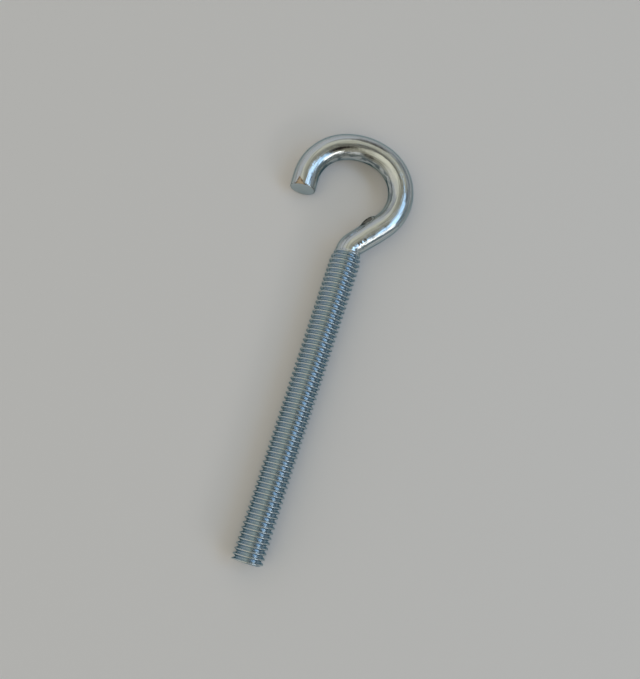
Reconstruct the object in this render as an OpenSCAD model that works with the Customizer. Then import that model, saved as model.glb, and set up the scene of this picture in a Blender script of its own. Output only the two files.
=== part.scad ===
// Screw hook: one round steel rod with a machine thread, bent at the neck into an open loop.
// It lies on the table as it comes to rest, on its thread and on the left of its loop.
// The thread runs along Y with its tail at -Y, and the loop lies at +Y with its tip at -X.
// The origin is on the thread's axis, where the thread meets the bare rod.

/* [Thread] */
// Outside diameter over the thread's crests
thread_d = 7.8; // [7:0.02:8.4]
// Distance from one turn of the thread to the next
thread_pitch = 1.25; // [1:0.05:1.5]
// Length of the threaded shank
thread_len = 79.5; // [40:0.1:150]
// Chamfer round the cut end of the thread
tail_chamfer = 0.2; // [0.05:0.05:0.6]

/* [Rod] */
// Diameter of the bare rod
rod_d = 6.5; // [5.5:0.1:7.2]
// How much thinner the rod is drawn where it is bent
bend_thinning = 0.06; // [0.04:0.02:0.2]
// Length that a straight run of rod reaches into the bends at its ends
bend_lap = 0.15; // [0.05:0.05:0.2]
// Chamfer round the cut face of the tip
tip_chamfer = 0.25; // [0.05:0.05:0.8]

/* [Hook] */
// Radius on the inside of the bend at the neck
neck_inside_r = 0.5; // [0.3:0.1:6]
// Angle that the neck turns to the right, away from the thread's axis
neck_angle = 37.5; // [20:0.5:60]
// Straight length of rod between the neck's bend and the loop
neck_len = 9.3; // [5:0.1:16]
// Radius on the inside of the loop, on its right
loop_right_inside_r = 7.45; // [5:0.05:14]
// Angle that the right of the loop turns to the left
loop_right_angle = 110.5; // [80:0.5:125]
// Radius on the inside of the loop, at its top, where it is flatter
loop_top_inside_r = 11.75; // [5:0.05:18]
// Angle that the top of the loop turns to the left
loop_top_angle = 40; // [10:0.5:60]
// Radius on the inside of the loop, on its left
loop_left_inside_r = 8.05; // [5:0.05:14]
// Angle that the left of the loop turns to the left
loop_left_angle = 70; // [40:0.5:90]
// Straight length of rod at the tip
tip_len = 3.3; // [1:0.1:6]

/* [Hidden] */
$fn = 96;

thread_r = thread_d / 2;
rod_r = rod_d / 2;
bend_rod_r = rod_r - bend_thinning / 2;

// Metric thread form: flat crests an eighth of the pitch wide, flat roots a quarter of it
flank_angle = 30;
crest_flat = thread_pitch / 8;
root_flat = thread_pitch / 4;
groove_w = thread_pitch - crest_flat;
thread_depth = (groove_w - root_flat) / 2 / tan(flank_angle);
root_r = thread_r - thread_depth;

// The step from the crests down to the bare rod slopes as the flanks do
shoulder_len = abs(thread_r - rod_r) * tan(flank_angle);
first_groove = shoulder_len + (thread_pitch + crest_flat) / 2;
groove_count = floor((thread_len - shoulder_len - crest_flat - tail_chamfer) / thread_pitch);

neck_r = neck_inside_r + rod_r;
loop_right_r = loop_right_inside_r + rod_r;
loop_top_r = loop_top_inside_r + rod_r;
loop_left_r = loop_left_inside_r + rod_r;

// Heading of the rod, turned to the left from the thread's axis, where the loop's right and top end,
// and where it has reached farthest left
right_end = loop_right_angle - neck_angle;
top_end = right_end + loop_top_angle;
left_most = min(180, top_end + loop_left_angle);

// The rod is thinner than the thread, so at rest the hook rolls until the far side of its loop is down
loop_start_x = neck_r * (1 - cos(neck_angle)) + neck_len * sin(neck_angle);
loop_left_x = loop_start_x + loop_right_r * (cos(right_end) - cos(neck_angle))
    + loop_top_r * (cos(top_end) - cos(right_end)) + loop_left_r * (cos(left_most) - cos(top_end));
rest_roll = asin((thread_r - bend_rod_r) / -loop_left_x);

// Half section of the shank, from the bare rod to the tail, with a groove for each turn of the thread
function groove(y) = [
    [thread_r, y - groove_w / 2],
    [root_r, y - root_flat / 2],
    [root_r, y + root_flat / 2],
    [thread_r, y + groove_w / 2]
];
shank_section = concat(
    [[0, 0], [rod_r, 0], [thread_r, shoulder_len]],
    [for (i = [0 : groove_count - 1]) each groove(first_groove + i * thread_pitch)],
    [[thread_r, thread_len - tail_chamfer], [thread_r - tail_chamfer, thread_len], [0, thread_len]]
);

module threaded_shank() {
    rotate([90, 0, 0])
        rotate_extrude()
            polygon(shank_section);
}

// A straight length of rod along +Y, from one place to another
module straight_rod(from, to) {
    translate([0, from, 0])
        rotate([-90, 0, 0])
            cylinder(h = to - from, r = rod_r);
}

// A bend that starts at the local origin along +Y and turns to the left about a centre at -X
module left_bend(radius, angle) {
    translate([-radius, 0, 0])
        rotate_extrude(angle = angle)
            translate([radius, 0])
                circle(r = bend_rod_r);
}

// Puts its children at the end of such a bend
module after_left_bend(radius, angle) {
    translate([-radius, 0, 0])
        rotate([0, 0, angle])
            translate([radius, 0, 0])
                children();
}

// The cut end of the rod, with its edge taken off
module tip() {
    straight_rod(-bend_lap, tip_len - tip_chamfer);
    translate([0, tip_len - tip_chamfer, 0])
        rotate([-90, 0, 0])
            cylinder(h = tip_chamfer, r1 = rod_r, r2 = rod_r - tip_chamfer);
}

// The loop is bent in three steps, and a short straight land is left between them
module loop() {
    left_bend(loop_right_r, loop_right_angle);
    after_left_bend(loop_right_r, loop_right_angle) {
        straight_rod(-bend_lap, bend_lap);
        left_bend(loop_top_r, loop_top_angle);
        after_left_bend(loop_top_r, loop_top_angle) {
            straight_rod(-bend_lap, bend_lap);
            left_bend(loop_left_r, loop_left_angle);
            after_left_bend(loop_left_r, loop_left_angle)
                tip();
        }
    }
}

// The neck's bend is a left bend seen in a mirror
module neck() {
    mirror([1, 0, 0])
        left_bend(neck_r, neck_angle);
    translate([neck_r * (1 - cos(neck_angle)), neck_r * sin(neck_angle), 0])
        rotate([0, 0, -neck_angle]) {
            straight_rod(-bend_lap, neck_len + bend_lap);
            translate([0, neck_len, 0])
                loop();
        }
}

module screw_hook() {
    color([0.73, 0.76, 0.77])
        rotate([0, -rest_roll, 0]) {
            threaded_shank();
            neck();
        }
}

screw_hook();
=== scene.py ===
import math

import bpy
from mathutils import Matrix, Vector


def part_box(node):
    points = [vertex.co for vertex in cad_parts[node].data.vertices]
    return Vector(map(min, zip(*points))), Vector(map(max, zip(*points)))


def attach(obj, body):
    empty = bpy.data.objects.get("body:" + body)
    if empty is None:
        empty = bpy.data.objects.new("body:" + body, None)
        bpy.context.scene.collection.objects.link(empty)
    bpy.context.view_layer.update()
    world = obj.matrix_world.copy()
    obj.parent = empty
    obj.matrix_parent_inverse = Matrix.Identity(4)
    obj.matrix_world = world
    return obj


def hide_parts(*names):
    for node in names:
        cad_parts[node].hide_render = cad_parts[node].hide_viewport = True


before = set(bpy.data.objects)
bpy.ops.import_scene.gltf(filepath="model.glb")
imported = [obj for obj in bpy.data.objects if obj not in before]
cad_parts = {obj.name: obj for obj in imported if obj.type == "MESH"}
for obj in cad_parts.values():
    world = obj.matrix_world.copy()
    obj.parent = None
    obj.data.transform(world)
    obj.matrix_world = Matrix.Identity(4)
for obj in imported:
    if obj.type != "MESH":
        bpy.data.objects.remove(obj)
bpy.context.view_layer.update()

# The hook: one length of round steel rod. Its shank is rolled with a machine thread, the bare end is
# bent to the right at the neck and round to the left into an open loop, and both ends are sheared off.
# After bending it is zinc plated and passivated, which leaves a bright, slightly blue skin.
mm = 0.001
lowest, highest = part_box("screw_hook")

thread_r = highest.z
thread_len = -lowest.y
pitch = 1.25 * mm
run_out = 3.2 * mm
tail_chamfer = 0.12 * mm
rod_r = 3.21 * mm
neck_r = 3.75 * mm
neck_turn = math.radians(37.5)
neck_len = 9.3 * mm
right_r = 10.7 * mm
right_turn = math.radians(110.5)
top_r = 15.0 * mm
top_turn = math.radians(40)
left_r = 11.3 * mm
left_turn = math.radians(70)
tip_len = 3.3 * mm
tip_chamfer = 0.16 * mm

# The rod is thinner than the thread, so the hook rolls on its thread until the loop's far side is down
right_end = right_turn - neck_turn
top_end = right_end + top_turn
left_x = neck_r * (1 - math.cos(neck_turn)) + neck_len * math.sin(neck_turn)
left_x += right_r * (math.cos(right_end) - math.cos(neck_turn))
left_x += top_r * (math.cos(top_end) - math.cos(right_end)) - left_r * (1 + math.cos(top_end))
rest_roll = math.asin((thread_r - rod_r) / -left_x)

# The mesh: columns round the rod, rows along it
columns = 60
rows_per_turn = 16
rows_per_cap = 5
rod_row = 0.15 * mm


class Wire:
    """An output of a node. Arithmetic on it adds Math nodes, and node() adds any other node."""

    def __init__(self, tree, socket=None):
        self.tree = tree
        self.socket = socket

    def node(self, kind, settings={}, sockets={}, output=0):
        made = self.tree.nodes.new(kind)
        for name, value in settings.items():
            setattr(made, name, value)
        for name, value in sockets.items():
            if isinstance(value, Wire):
                self.tree.links.new(value.socket, made.inputs[name])
            else:
                made.inputs[name].default_value = value
        return Wire(self.tree, made.outputs[output])

    def maths(self, operation, *values):
        return self.node("ShaderNodeMath", {"operation": operation}, dict(enumerate(values)))

    def vector(self, operation, *values, output=0):
        sockets = dict(enumerate(values))
        return self.node("ShaderNodeVectorMath", {"operation": operation}, sockets, output)

    def ramp(self, low, high, to_low=0.0, to_high=1.0, shape="LINEAR"):
        limits = {"Value": self, "From Min": low, "From Max": high, "To Min": to_low, "To Max": to_high}
        return self.node("ShaderNodeMapRange", {"interpolation_type": shape, "clamp": True}, limits)

    def ease(self, low, high):
        return self.ramp(low, high, shape="SMOOTHSTEP")

    def split(self):
        parts = self.node("ShaderNodeSeparateXYZ", {}, {"Vector": self}).socket.node
        return [Wire(self.tree, part) for part in parts.outputs]

    def join(self, x, y, z):
        return self.node("ShaderNodeCombineXYZ", {}, {"X": x, "Y": y, "Z": z})

    def least(self, other):
        return self.maths("MINIMUM", self, other)

    def most(self, other):
        return self.maths("MAXIMUM", self, other)

    def cos(self):
        return self.maths("COSINE", self)

    def sin(self):
        return self.maths("SINE", self)

    def size(self):
        return self.maths("ABSOLUTE", self)

    def __add__(self, other):
        return self.maths("ADD", self, other)

    def __radd__(self, other):
        return self.maths("ADD", other, self)

    def __sub__(self, other):
        return self.maths("SUBTRACT", self, other)

    def __rsub__(self, other):
        return self.maths("SUBTRACT", other, self)

    def __mul__(self, other):
        return self.maths("MULTIPLY", self, other)

    def __rmul__(self, other):
        return self.maths("MULTIPLY", other, self)

    def __truediv__(self, other):
        return self.maths("DIVIDE", self, other)

    def __rtruediv__(self, other):
        return self.maths("DIVIDE", other, self)

    def __pow__(self, other):
        return self.maths("POWER", self, other)

    def __neg__(self):
        return self.maths("MULTIPLY", self, -1.0)


zinc = bpy.data.materials.new("zinc_plate")

tree = bpy.data.node_groups.new("bent rod with a rolled thread", "GeometryNodeTree")
sizes = {
    "Thread radius": thread_r,
    "Thread length": thread_len,
    "Pitch": pitch,
    "Run out": run_out,
    "Tail chamfer": tail_chamfer,
    "Rod radius": rod_r,
    "Neck radius": neck_r,
    "Neck turn": neck_turn,
    "Neck length": neck_len,
    "Right radius": right_r,
    "Right turn": right_turn,
    "Top radius": top_r,
    "Top turn": top_turn,
    "Left radius": left_r,
    "Left turn": left_turn,
    "Tip length": tip_len,
    "Tip chamfer": tip_chamfer,
    "Roll": rest_roll,
}
sockets = {}
for name in sizes:
    sockets[name] = tree.interface.new_socket(name=name, in_out="INPUT", socket_type="NodeSocketFloat")
tree.interface.new_socket(name="Hook", in_out="OUTPUT", socket_type="NodeSocketGeometry")
given = tree.nodes.new("NodeGroupInput")
start = Wire(tree)
size = {name: Wire(tree, given.outputs[name]) for name in sizes}

neck_end = size["Thread length"] + size["Neck radius"] * size["Neck turn"]
loop_start = neck_end + size["Neck length"]
right_stop = loop_start + size["Right radius"] * size["Right turn"]
top_stop = right_stop + size["Top radius"] * size["Top turn"]
left_stop = top_stop + size["Left radius"] * size["Left turn"]
rod_end = left_stop + size["Tip length"]

# A sheet of rows and columns that is wound on the rod as the thread is: each turn lifts a row by one
# pitch, so a row keeps its place on the thread's profile. The rows past both ends close the end faces
loop_len = right_r * right_turn + top_r * top_turn + left_r * left_turn
bare_len = neck_r * neck_turn + neck_len + loop_len + tip_len
end_rows = rows_per_cap + rows_per_turn
rows = math.ceil(thread_len / pitch * rows_per_turn + bare_len / rod_row) + 2 * end_rows
grid_sizes = {"Size X": columns, "Size Y": rows, "Vertices X": columns + 1, "Vertices Y": rows + 1}
sheet = start.node("GeometryNodeMeshGrid", {}, grid_sizes)
across, upward, _ = start.node("GeometryNodeInputPosition").split()
column = start.maths("ROUND", across + columns / 2)
row = start.maths("ROUND", upward + rows / 2) - end_rows
angle = column * (2 * math.pi / columns)
step = row + column * (rows_per_turn / columns)

thread_rows = size["Thread length"] / size["Pitch"] * rows_per_turn
on_thread = step.least(thread_rows) * size["Pitch"] / rows_per_turn
on_rod = (step - thread_rows).most(0.0) * rod_row
wound = on_thread + on_rod
tip_row = thread_rows + (rod_end - size["Thread length"]) / rod_row

along = wound.most(0.0).least(rod_end)

# Thread: crests an eighth of the pitch wide, straight flanks at 30 degrees to the side, and round roots
depth = size["Pitch"] * 0.613
turns = along / size["Pitch"] - angle / (2 * math.pi)
from_crest = (start.maths("FRACT", turns) - 0.5).size()
flank = (from_crest - 1 / 16) * size["Pitch"] / math.tan(math.radians(30))
cut = start.maths("SMOOTH_MIN", flank, depth, size["Pitch"] * 0.3)
cut = start.maths("SMOOTH_MAX", cut, 0.0, size["Pitch"] * 0.04)

# At the neck the crests run out over two or three turns, and the grooves end more sharply
into_thread = size["Thread length"] - along
run_out_share = (1 - into_thread.ramp(0.0, size["Run out"])) ** 1.6
shrunk = run_out_share * (size["Thread radius"] - size["Rod radius"])
skin = size["Thread radius"] - shrunk - cut * into_thread.ease(0.1 * mm, 1.1 * mm)

# Broken chamfers at both ends, then the rows that close the end faces
skin = skin.least(size["Thread radius"] - size["Tail chamfer"] + along)
skin = skin.least(size["Rod radius"] - size["Tip chamfer"] + (rod_end - along))
open_tail = step.ramp(-rows_per_cap, 0.0)
open_tip = (step - tip_row).ramp(0.0, rows_per_cap, 1.0, 0.0)
skin = skin * (1 - (1 - open_tail * open_tip) ** 2.0)

# The rod before bending: right of its axis, along it, and up. The tool that bent the neck pressed its
# inside flat, and a burr stands on the neck's other side
right = skin * angle.cos()
up = -(skin * angle.sin())
from_neck = along - size["Thread length"]
pressed = from_neck.ease(-0.3 * mm, 2.0 * mm) * from_neck.ramp(3.2 * mm, 8.5 * mm, 1.0, 0.0)
right = right - right.most(0.0) * pressed * 0.1

burr_at = 8.9 * mm
burr_half_len = 2.4 * mm
burr_half_w = 0.95 * mm
burr_h = 0.65 * mm
burr_angle = math.radians(163)
burr_out = right * math.cos(burr_angle) + up * math.sin(burr_angle)
burr_side = up * math.cos(burr_angle) - right * math.sin(burr_angle)
burr_x = (from_neck - burr_at) / burr_half_len
burr_y = burr_side / burr_half_w
burr = (burr_x * burr_x + burr_y * burr_y).ramp(1.0, 0.0) * burr_out.ease(0.0, 1.0 * mm)
right = right + burr * (burr_h * math.cos(burr_angle))
up = up + burr * (burr_h * math.sin(burr_angle))

# Small creases across the inside of the bend, where the metal was squeezed
crease_place = start.join(right * 0.8, along * 1.3, up * 0.8)
crease = start.node("ShaderNodeTexNoise", {}, {"Vector": crease_place, "Scale": 850.0, "Detail": 2.0})
creased = from_neck.ease(0.0, 1.0 * mm) * from_neck.ramp(4.2 * mm, 6.0 * mm, 1.0, 0.0)
creased = creased * right.ease(0.2 * mm, 1.5 * mm) * up.ease(0.2 * mm, 1.5 * mm)
lift = (crease - 0.5) * creased * (0.38 * mm)
right = right + lift * 0.6
up = up + lift * 0.8
unbent = start.join(right, along, up)

# The bends: the neck turns right, then the loop turns left in three steps of different radius.
# Each bend moves the rod by its radius times the change in its heading's cosine and sine
heading = along * 0.0
centre_x = along * 0.0
centre_y = from_neck.least(0.0)
bends = (
    ("Neck radius", "Neck turn", size["Thread length"], -1.0),
    ("Right radius", "Right turn", loop_start, 1.0),
    ("Top radius", "Top turn", right_stop, 1.0),
    ("Left radius", "Left turn", top_stop, 1.0),
)
for radius_name, turn_name, begin, side in bends:
    turned = ((along - begin) / size[radius_name]).most(0.0).least(size[turn_name]) * side
    after = heading + turned
    centre_x = centre_x + size[radius_name] * (after.cos() - heading.cos()) * side
    centre_y = centre_y + size[radius_name] * (after.sin() - heading.sin()) * side
    heading = after
neck_out = (along - neck_end).most(0.0).least(size["Neck length"])
tip_out = (along - left_stop).most(0.0)
# The shears leant over as they cut the tip
tip_out = tip_out - up * tip_out.ramp(1.3 * mm, 3.3 * mm) * 0.09
tip_heading = size["Right turn"] + size["Top turn"] + size["Left turn"] - size["Neck turn"]
centre_x = centre_x + neck_out * size["Neck turn"].sin() - tip_out * tip_heading.sin()
centre_y = centre_y + neck_out * size["Neck turn"].cos() + tip_out * tip_heading.cos()
bent = start.join(centre_x + right * heading.cos(), centre_y + right * heading.sin(), up)

marked = start.node("GeometryNodeStoreNamedAttribute", {"data_type": "FLOAT_VECTOR", "domain": "POINT"},
                    {"Geometry": sheet, "Name": "unbent", "Value": unbent})
placed = start.node("GeometryNodeSetPosition", {}, {"Geometry": marked, "Position": bent})
welded = start.node("GeometryNodeMergeByDistance", {}, {"Geometry": placed, "Distance": 0.001 * mm})
rolled = start.node("GeometryNodeTransform", {},
                    {"Geometry": welded, "Rotation": start.join(0.0, -size["Roll"], 0.0)})
smooth = start.node("GeometryNodeSetShadeSmooth", {}, {"Geometry": rolled, "Shade Smooth": True})
whole = start.node("GeometryNodeRealizeInstances", {}, {"Geometry": smooth})
coated = start.node("GeometryNodeSetMaterial", {}, {"Geometry": whole, "Material": zinc})
result = tree.nodes.new("NodeGroupOutput")
tree.links.new(coated.socket, result.inputs["Hook"])

hook = bpy.data.objects.new("screw_hook_rod", bpy.data.meshes.new("screw_hook_rod"))
bpy.context.scene.collection.objects.link(hook)
modifier = hook.modifiers.new("bent rod with a rolled thread", "NODES")
modifier.node_group = tree
for name, value in sizes.items():
    modifier[sockets[name].identifier] = value
depsgraph = bpy.context.evaluated_depsgraph_get()
finished = bpy.data.meshes.new_from_object(hook.evaluated_get(depsgraph), preserve_all_data_layers=True,
                                           depsgraph=depsgraph)
hook.modifiers.remove(modifier)
hook.data = finished

zinc.use_nodes = True
zinc.node_tree.nodes.clear()
paint = Wire(zinc.node_tree)
place = paint.node("ShaderNodeAttribute", {"attribute_name": "unbent"}, output="Vector")
right, along, up = place.split()
radius = place.vector("LENGTH", paint.join(right, 0.0, up), output="Value")
round_at = paint.maths("ARCTAN2", up, right)
from_neck = along - thread_len


def blend(wires, share, first, second):
    return wires.node("ShaderNodeMix", {"data_type": "RGBA"}, {0: share, 6: first, 7: second}, 2)


# Lines and darker streaks drawn along the rod, shallow dents, and painted shade in the grooves: a darker,
# bluer tone laid over the plate's blue tint
drawn = place.vector("MULTIPLY", place, (1.0, 0.05, 1.0))
lines = paint.node("ShaderNodeTexNoise", {}, {"Vector": drawn, "Scale": 2600.0, "Detail": 3.0})
streaks = paint.node("ShaderNodeTexNoise", {}, {"Vector": drawn, "Scale": 1300.0, "Detail": 4.0})
dents = paint.node("ShaderNodeTexNoise", {}, {"Vector": place, "Scale": 420.0, "Detail": 2.0})
ragged = paint.node("ShaderNodeTexNoise", {}, {"Vector": place, "Scale": 2600.0, "Detail": 2.0})
on_thread = (-from_neck).ease(0.2 * mm, 1.2 * mm)
groove = (thread_r - radius).ramp(0.06 * mm, 0.3 * mm) * on_thread
tone = blend(paint, dents.ramp(0.35, 0.65), (0.68, 0.73, 0.75, 1.0), (0.72, 0.76, 0.76, 1.0))
on_side = radius.ease(rod_r - 0.3 * mm, rod_r - 0.15 * mm)
tone = blend(paint, streaks.ramp(0.5, 0.62) * on_side * 0.6, tone, (0.33, 0.355, 0.355, 1.0))
tone = blend(paint, on_thread, tone, (0.66, 0.71, 0.72, 1.0))
# Painted shade: the grooves turn darker and bluer as they deepen
tone = blend(paint, groove, tone, (0.53, 0.62, 0.69, 1.0))

# Painted dark reflection of the shaded table: dark blotches on the inside of the loop
inside_shade_place = place.vector("MULTIPLY", place, (1.0, 0.3, 1.0))
inside_shade_noise = paint.node("ShaderNodeTexNoise", {}, {"Vector": inside_shade_place, "Scale": 1100.0, "Detail": 2.0})
loop_inside = (-right).ease(2.4 * mm, 3.0 * mm) * from_neck.ease(16.0 * mm, 24.0 * mm)
painted_inside_shade = inside_shade_noise.ease(0.44, 0.56) * loop_inside * on_side
# Painted dark reflection: the inside of the loop is darkened in blotches
tone = blend(paint, painted_inside_shade * 0.85, tone, (0.1, 0.145, 0.165, 1.0))

# Shearing left a ragged rim round the cut face of the tip
tip_left = thread_len + bare_len - along
rim = tip_left.ease(0.5 * mm, 0.2 * mm) * radius.ease(rod_r - 0.4 * mm, rod_r - 0.2 * mm)
tone = blend(paint, rim * ragged.ease(0.5, 0.6), tone, (0.12, 0.12, 0.11, 1.0))

# The plate is worn through at the tip, in a three-cornered patch that shows brown steel
patch_len = 2.2 * mm
from_tip = tip_left / patch_len
patch_side = (round_at - (math.radians(70) - from_tip * math.radians(10))).size() * rod_r
patch_edge = (1 - from_tip) * (1.3 * mm) - patch_side + (ragged - 0.5) * (1.1 * mm)
patch = patch_edge.ease(-0.08 * mm, 0.08 * mm) * on_side
patch_inner = (patch_edge + (ragged - 0.5) * (1.2 * mm)).ease(0.05 * mm, 0.4 * mm)
patch_tone = blend(paint, patch_inner, (0.17, 0.11, 0.075, 1.0), (0.60, 0.48, 0.34, 1.0))

# The burr is dull and brown, and three dark dots are painted on the rod; the one on the neck, beside the
# bend's highlight, is a painted dark reflection
burr_side = (round_at - burr_angle).size() * rod_r
burr_spot = ((from_neck - burr_at) / burr_half_len) ** 2.0 + (burr_side / burr_half_w) ** 2.0
burr_dull = burr_spot.ramp(1.6, 1.1) * (from_neck - burr_at).ramp(0.9 * mm, 1.3 * mm, 1.0, 0.0)
tone = blend(paint, burr_dull, tone, (0.17, 0.165, 0.14, 1.0))
dark_dots = 0.0
for dot_along, dot_round in ((51.4, 24), (13.9, 35), (4.5, 70)):
    dot_side = (round_at - math.radians(dot_round)) * rod_r
    dot_off = paint.join(from_neck - dot_along * mm, dot_side, 0.0)
    dot_far = paint.vector("LENGTH", dot_off, output="Value")
    dark_dots = dark_dots + dot_far.ease(0.22 * mm, 0.1 * mm)
# Dark dots darken the tone; the dot on the neck is a painted dark reflection
tone = blend(paint, dark_dots, tone, (0.12, 0.11, 0.1, 1.0))
tone = blend(paint, patch, tone, patch_tone)

# The thread is rolled smooth, so the lines and dents are felt on the bare rod alone
relief_depth = 0.025 * mm
height = (lines * 2.6 + dents * 2.2) * (1 - on_thread)
relief = paint.node("ShaderNodeBump", {}, {"Strength": 1.0, "Distance": relief_depth, "Height": height})
rough = lines.ramp(0.35, 0.65, 0.1, 0.17) + groove * 0.05 + on_thread * 0.07
metal = paint.node("ShaderNodeBsdfPrincipled", {}, {
    "Base Color": tone,
    "Metallic": 1 - patch * 0.7,
    "Roughness": rough + patch * 0.3,
    "Specular Tint": (0.2, 0.38, 0.45, 1.0),
    "Normal": relief,
})
surface = zinc.node_tree.nodes.new("ShaderNodeOutputMaterial")
zinc.node_tree.links.new(metal.socket, surface.inputs["Surface"])

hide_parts("screw_hook")
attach(hook, "root")

# The table: a plain pale cloth that the hook lies on.
# It only receives the shadow and is no part of the object.
floor_half = 2.0
corners = [(x * floor_half, y * floor_half) for x, y in ((-1, -1), (1, -1), (1, 1), (-1, 1))]
floor_mesh = bpy.data.meshes.new("floor")
floor_mesh.from_pydata([(x, y, lowest.z) for x, y in corners], [], [(0, 1, 2, 3)])
floor = bpy.data.objects.new("floor", floor_mesh)
bpy.context.scene.collection.objects.link(floor)
cloth = bpy.data.materials.new("pale_cloth")
cloth.use_nodes = True
cloth_look = cloth.node_tree.nodes["Principled BSDF"]
cloth_look.inputs["Base Color"].default_value = (0.90, 0.88, 0.89, 1.0)
cloth_look.inputs["Roughness"].default_value = 0.55
cloth_look.inputs["Specular IOR Level"].default_value = 0.5
floor_mesh.materials.append(cloth)

# The light: two cool windows and a lower white one on the right, in a soft room that is warmest on the left.
# Azimuths run clockwise from +Y as seen from above, and elevations up from the table.
hook_middle = Vector((0.0, -0.02, 0.0))


def direction(azimuth, elevation):
    a = math.radians(azimuth)
    e = math.radians(elevation)
    return Vector((math.sin(a) * math.cos(e), math.cos(a) * math.cos(e), math.sin(e)))


def window(name, azimuth, elevation, tilt, distance, width, height, radiance, colour):
    lamp = bpy.data.lights.new(name, "AREA")
    lamp.shape = "RECTANGLE"
    lamp.size = width
    lamp.size_y = height
    lamp.color = colour
    lamp.energy = radiance * math.pi * width * height
    stand = bpy.data.objects.new(name, lamp)
    toward = direction(azimuth, elevation)
    stand.location = hook_middle + toward * distance
    aim = toward.to_track_quat("Z", "Y").to_matrix()
    side = aim.col[0] * math.cos(math.radians(tilt)) + aim.col[1] * math.sin(math.radians(tilt))
    aim.col[1] = toward.cross(side)
    aim.col[0] = side
    stand.rotation_euler = aim.to_euler()
    bpy.context.scene.collection.objects.link(stand)


window("cool_window_high", 44, 60.5, 37, 3.0, 1.28, 0.36, 1.7, (0.38, 0.64, 1.0))
window("cool_window_low", 83, 47.5, 36, 3.0, 1.95, 1.06, 1.6, (0.40, 0.66, 1.0))
window("white_window", 117, 28.5, 3, 3.0, 2.0, 0.54, 2.4, (1.0, 0.98, 0.97))

world = bpy.data.worlds.new("room")
bpy.context.scene.world = world
world.use_nodes = True
world.node_tree.nodes.clear()
room = Wire(world.node_tree)
looking = room.node("ShaderNodeTexCoord", output="Generated")


def zone(azimuth, elevation, outer, inner):
    toward = tuple(direction(azimuth, elevation))
    facing = looking.vector("DOT_PRODUCT", looking, toward, output="Value")
    return facing.ease(math.cos(math.radians(outer)), math.cos(math.radians(inner)))


def add_patches(walls, patches):
    for zones, colour in patches:
        share = zone(*zones[0])
        for other in zones[1:]:
            share = share.most(zone(*other))
        walls = blend(room, share, walls, colour)
    return walls


# A dim cream ceiling that is bright on the left, a white wall ahead, and round patches that are mirrored.
# Each zone is an azimuth, an elevation, and the angles from there at which it begins and is full
wall_side = looking.vector("DOT_PRODUCT", looking, (-0.30, 0.55, -0.78), output="Value")
walls = blend(room, wall_side.ramp(-0.8, -0.15), (0.27, 0.25, 0.19, 1.0), (0.60, 0.58, 0.48, 1.0))
walls = add_patches(walls, (
    (((-132, 58, 38, 12),), (0.78, 0.74, 0.60, 1.0)),
    (((-100, 15, 50, 20),), (0.60, 0.57, 0.50, 1.0)),
))
walls = blend(room, wall_side.ease(-0.02, 0.02), walls, (0.47, 0.475, 0.49, 1.0))
walls = add_patches(walls, (
    (((5, 30, 14, 7),), (0.07, 0.065, 0.065, 1.0)),
    (((50, 8, 45, 25),), (0.25, 0.27, 0.285, 1.0)),
    (((31, 27, 10, 4),), (0.14, 0.15, 0.15, 1.0)),
    (((95, 5, 35, 15),), (0.12, 0.16, 0.18, 1.0)),
    (((150, 5, 35, 15),), (0.13, 0.14, 0.14, 1.0)),
    (((158, 24, 12, 6),), (0.62, 0.61, 0.58, 1.0)),
    (((56, 40, 8, 4),), (0.05, 0.045, 0.045, 1.0)),
    (((184, 17, 10, 5), (178, 29, 9, 5)), (0.04, 0.035, 0.03, 1.0)),
    (((-40, 87, 17, 6),), (0.13, 0.125, 0.11, 1.0)),
    (((108, 70, 9, 6), (122, 64, 15, 10)), (0.02, 0.015, 0.012, 1.0)),
))
backdrop = (0.42, 0.42, 0.42, 1.0)
seen = room.node("ShaderNodeLightPath", output="Is Camera Ray")
room_colour = blend(room, seen, walls, backdrop)
light = room.node("ShaderNodeBackground", {}, {"Color": room_colour, "Strength": 1.0})
outlet = world.node_tree.nodes.new("ShaderNodeOutputWorld")
world.node_tree.links.new(light.socket, outlet.inputs["Surface"])

# The camera: it looks down on the hook from about 0.2 m above the lower part of its thread,
# nearly straight down, as the photograph does.
lens = bpy.data.cameras.new("camera")
lens.lens = 47.32
lens.sensor_width = 36.0
lens.clip_start = 0.01
lens.clip_end = 10.0
camera = bpy.data.objects.new("camera", lens)
camera.location = (-28.78 * mm, -60.20 * mm, 215.07 * mm)
camera.rotation_euler = (math.radians(6.81), math.radians(-10.267), math.radians(18.117))
bpy.context.scene.collection.objects.link(camera)
bpy.context.scene.camera = camera
bpy.context.scene.view_settings.view_transform = "Standard"
